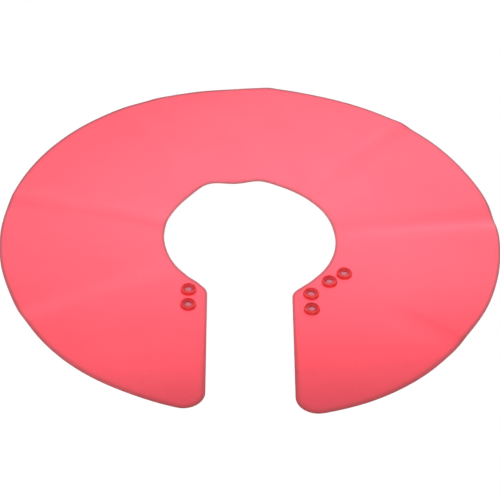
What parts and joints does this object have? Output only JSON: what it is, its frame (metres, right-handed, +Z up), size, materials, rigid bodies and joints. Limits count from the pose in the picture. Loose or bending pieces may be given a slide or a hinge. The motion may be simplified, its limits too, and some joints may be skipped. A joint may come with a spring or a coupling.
{
  "type": "hair cutting collar",
  "caption": "Flat soft C-shaped collar that goes round the neck, lies over the shoulders and catches cut hair, closed at the front by magnets in raised rings.",
  "frame": {"origin": "middle of the outline seen from above, at the lowest face, which is the underside of the backing rings; the neck centre is 3.7 mm towards -Y", "axes": "+Z up out of the face that carries the raised rings, +Y towards the wearer's back, slit towards -Y, +X towards the end with four fasteners"},
  "size_m": [0.45, 0.4426, 0.0057],
  "materials": {
    "sheet": "smooth satin, slightly translucent coral red",
    "ring": "gloss, deep red",
    "magnet": "nickel plate"
  },
  "bodies": {
    "back_left": {"sheet_back_left": "sheet"},
    "back_right": {"sheet_back_right": "sheet"},
    "left_shoulder": {"sheet_left_shoulder": "sheet"},
    "left_side": {"sheet_left_side": "sheet"},
    "left_front": {"sheet_left_front": "sheet", "top_ring_left_1": "ring", "magnet_left_1": "magnet", "backing_ring_left_1": "ring", "top_ring_left_2": "ring", "magnet_left_2": "magnet", "backing_ring_left_2": "ring"},
    "right_shoulder": {"sheet_right_shoulder": "sheet"},
    "right_side": {"sheet_right_side": "sheet"},
    "right_front": {"sheet_right_front": "sheet", "top_ring_right_1": "ring", "magnet_right_1": "magnet", "backing_ring_right_1": "ring", "top_ring_right_2": "ring", "magnet_right_2": "magnet", "backing_ring_right_2": "ring", "top_ring_right_3": "ring", "magnet_right_3": "magnet", "backing_ring_right_3": "ring", "top_ring_right_4": "ring", "magnet_right_4": "magnet", "backing_ring_right_4": "ring"}
  },
  "joints": [
    {"name": "back_fold", "type": "hinge", "parent": "back_left", "child": "back_right", "pos_m": [0.01053, 0.14691, 0.0047], "axis": [-0.0698, -0.9976, 0], "range_deg": [-10, 150]},
    {"name": "left_drape_1", "type": "hinge", "parent": "back_left", "child": "left_shoulder", "pos_m": [-0.08224, 0.12292, 0.0016], "axis": [0.5446, -0.8387, 0], "range_deg": [0, 14]},
    {"name": "left_drape_2", "type": "hinge", "parent": "left_shoulder", "child": "left_side", "pos_m": [-0.14585, 0.03536, 0.0016], "axis": [0.9659, -0.2588, 0], "range_deg": [0, 14]},
    {"name": "left_drape_3", "type": "hinge", "parent": "left_side", "child": "left_front", "pos_m": [-0.14651, -0.04025, 0.0016], "axis": [0.9703, 0.2419, 0], "range_deg": [0, 14]},
    {"name": "right_drape_1", "type": "hinge", "parent": "back_right", "child": "right_shoulder", "pos_m": [0.09906, 0.11024, 0.0016], "axis": [0.6561, 0.7547, 0], "range_deg": [0, 14]},
    {"name": "right_drape_2", "type": "hinge", "parent": "right_shoulder", "child": "right_side", "pos_m": [0.14987, 0.01468, 0.0016], "axis": [0.9925, 0.1219, 0], "range_deg": [0, 14]},
    {"name": "right_drape_3", "type": "hinge", "parent": "right_side", "child": "right_front", "pos_m": [0.14, -0.06029, 0.0016], "axis": [0.9272, -0.3746, 0], "range_deg": [0, 14]}
  ],
  "couplings": [
    {"joint": "left_drape_2", "follows": "left_drape_1", "ratio": 1},
    {"joint": "left_drape_3", "follows": "left_drape_1", "ratio": 1},
    {"joint": "right_drape_1", "follows": "left_drape_1", "ratio": 1},
    {"joint": "right_drape_2", "follows": "left_drape_1", "ratio": 1},
    {"joint": "right_drape_3", "follows": "left_drape_1", "ratio": 1}
  ]
}
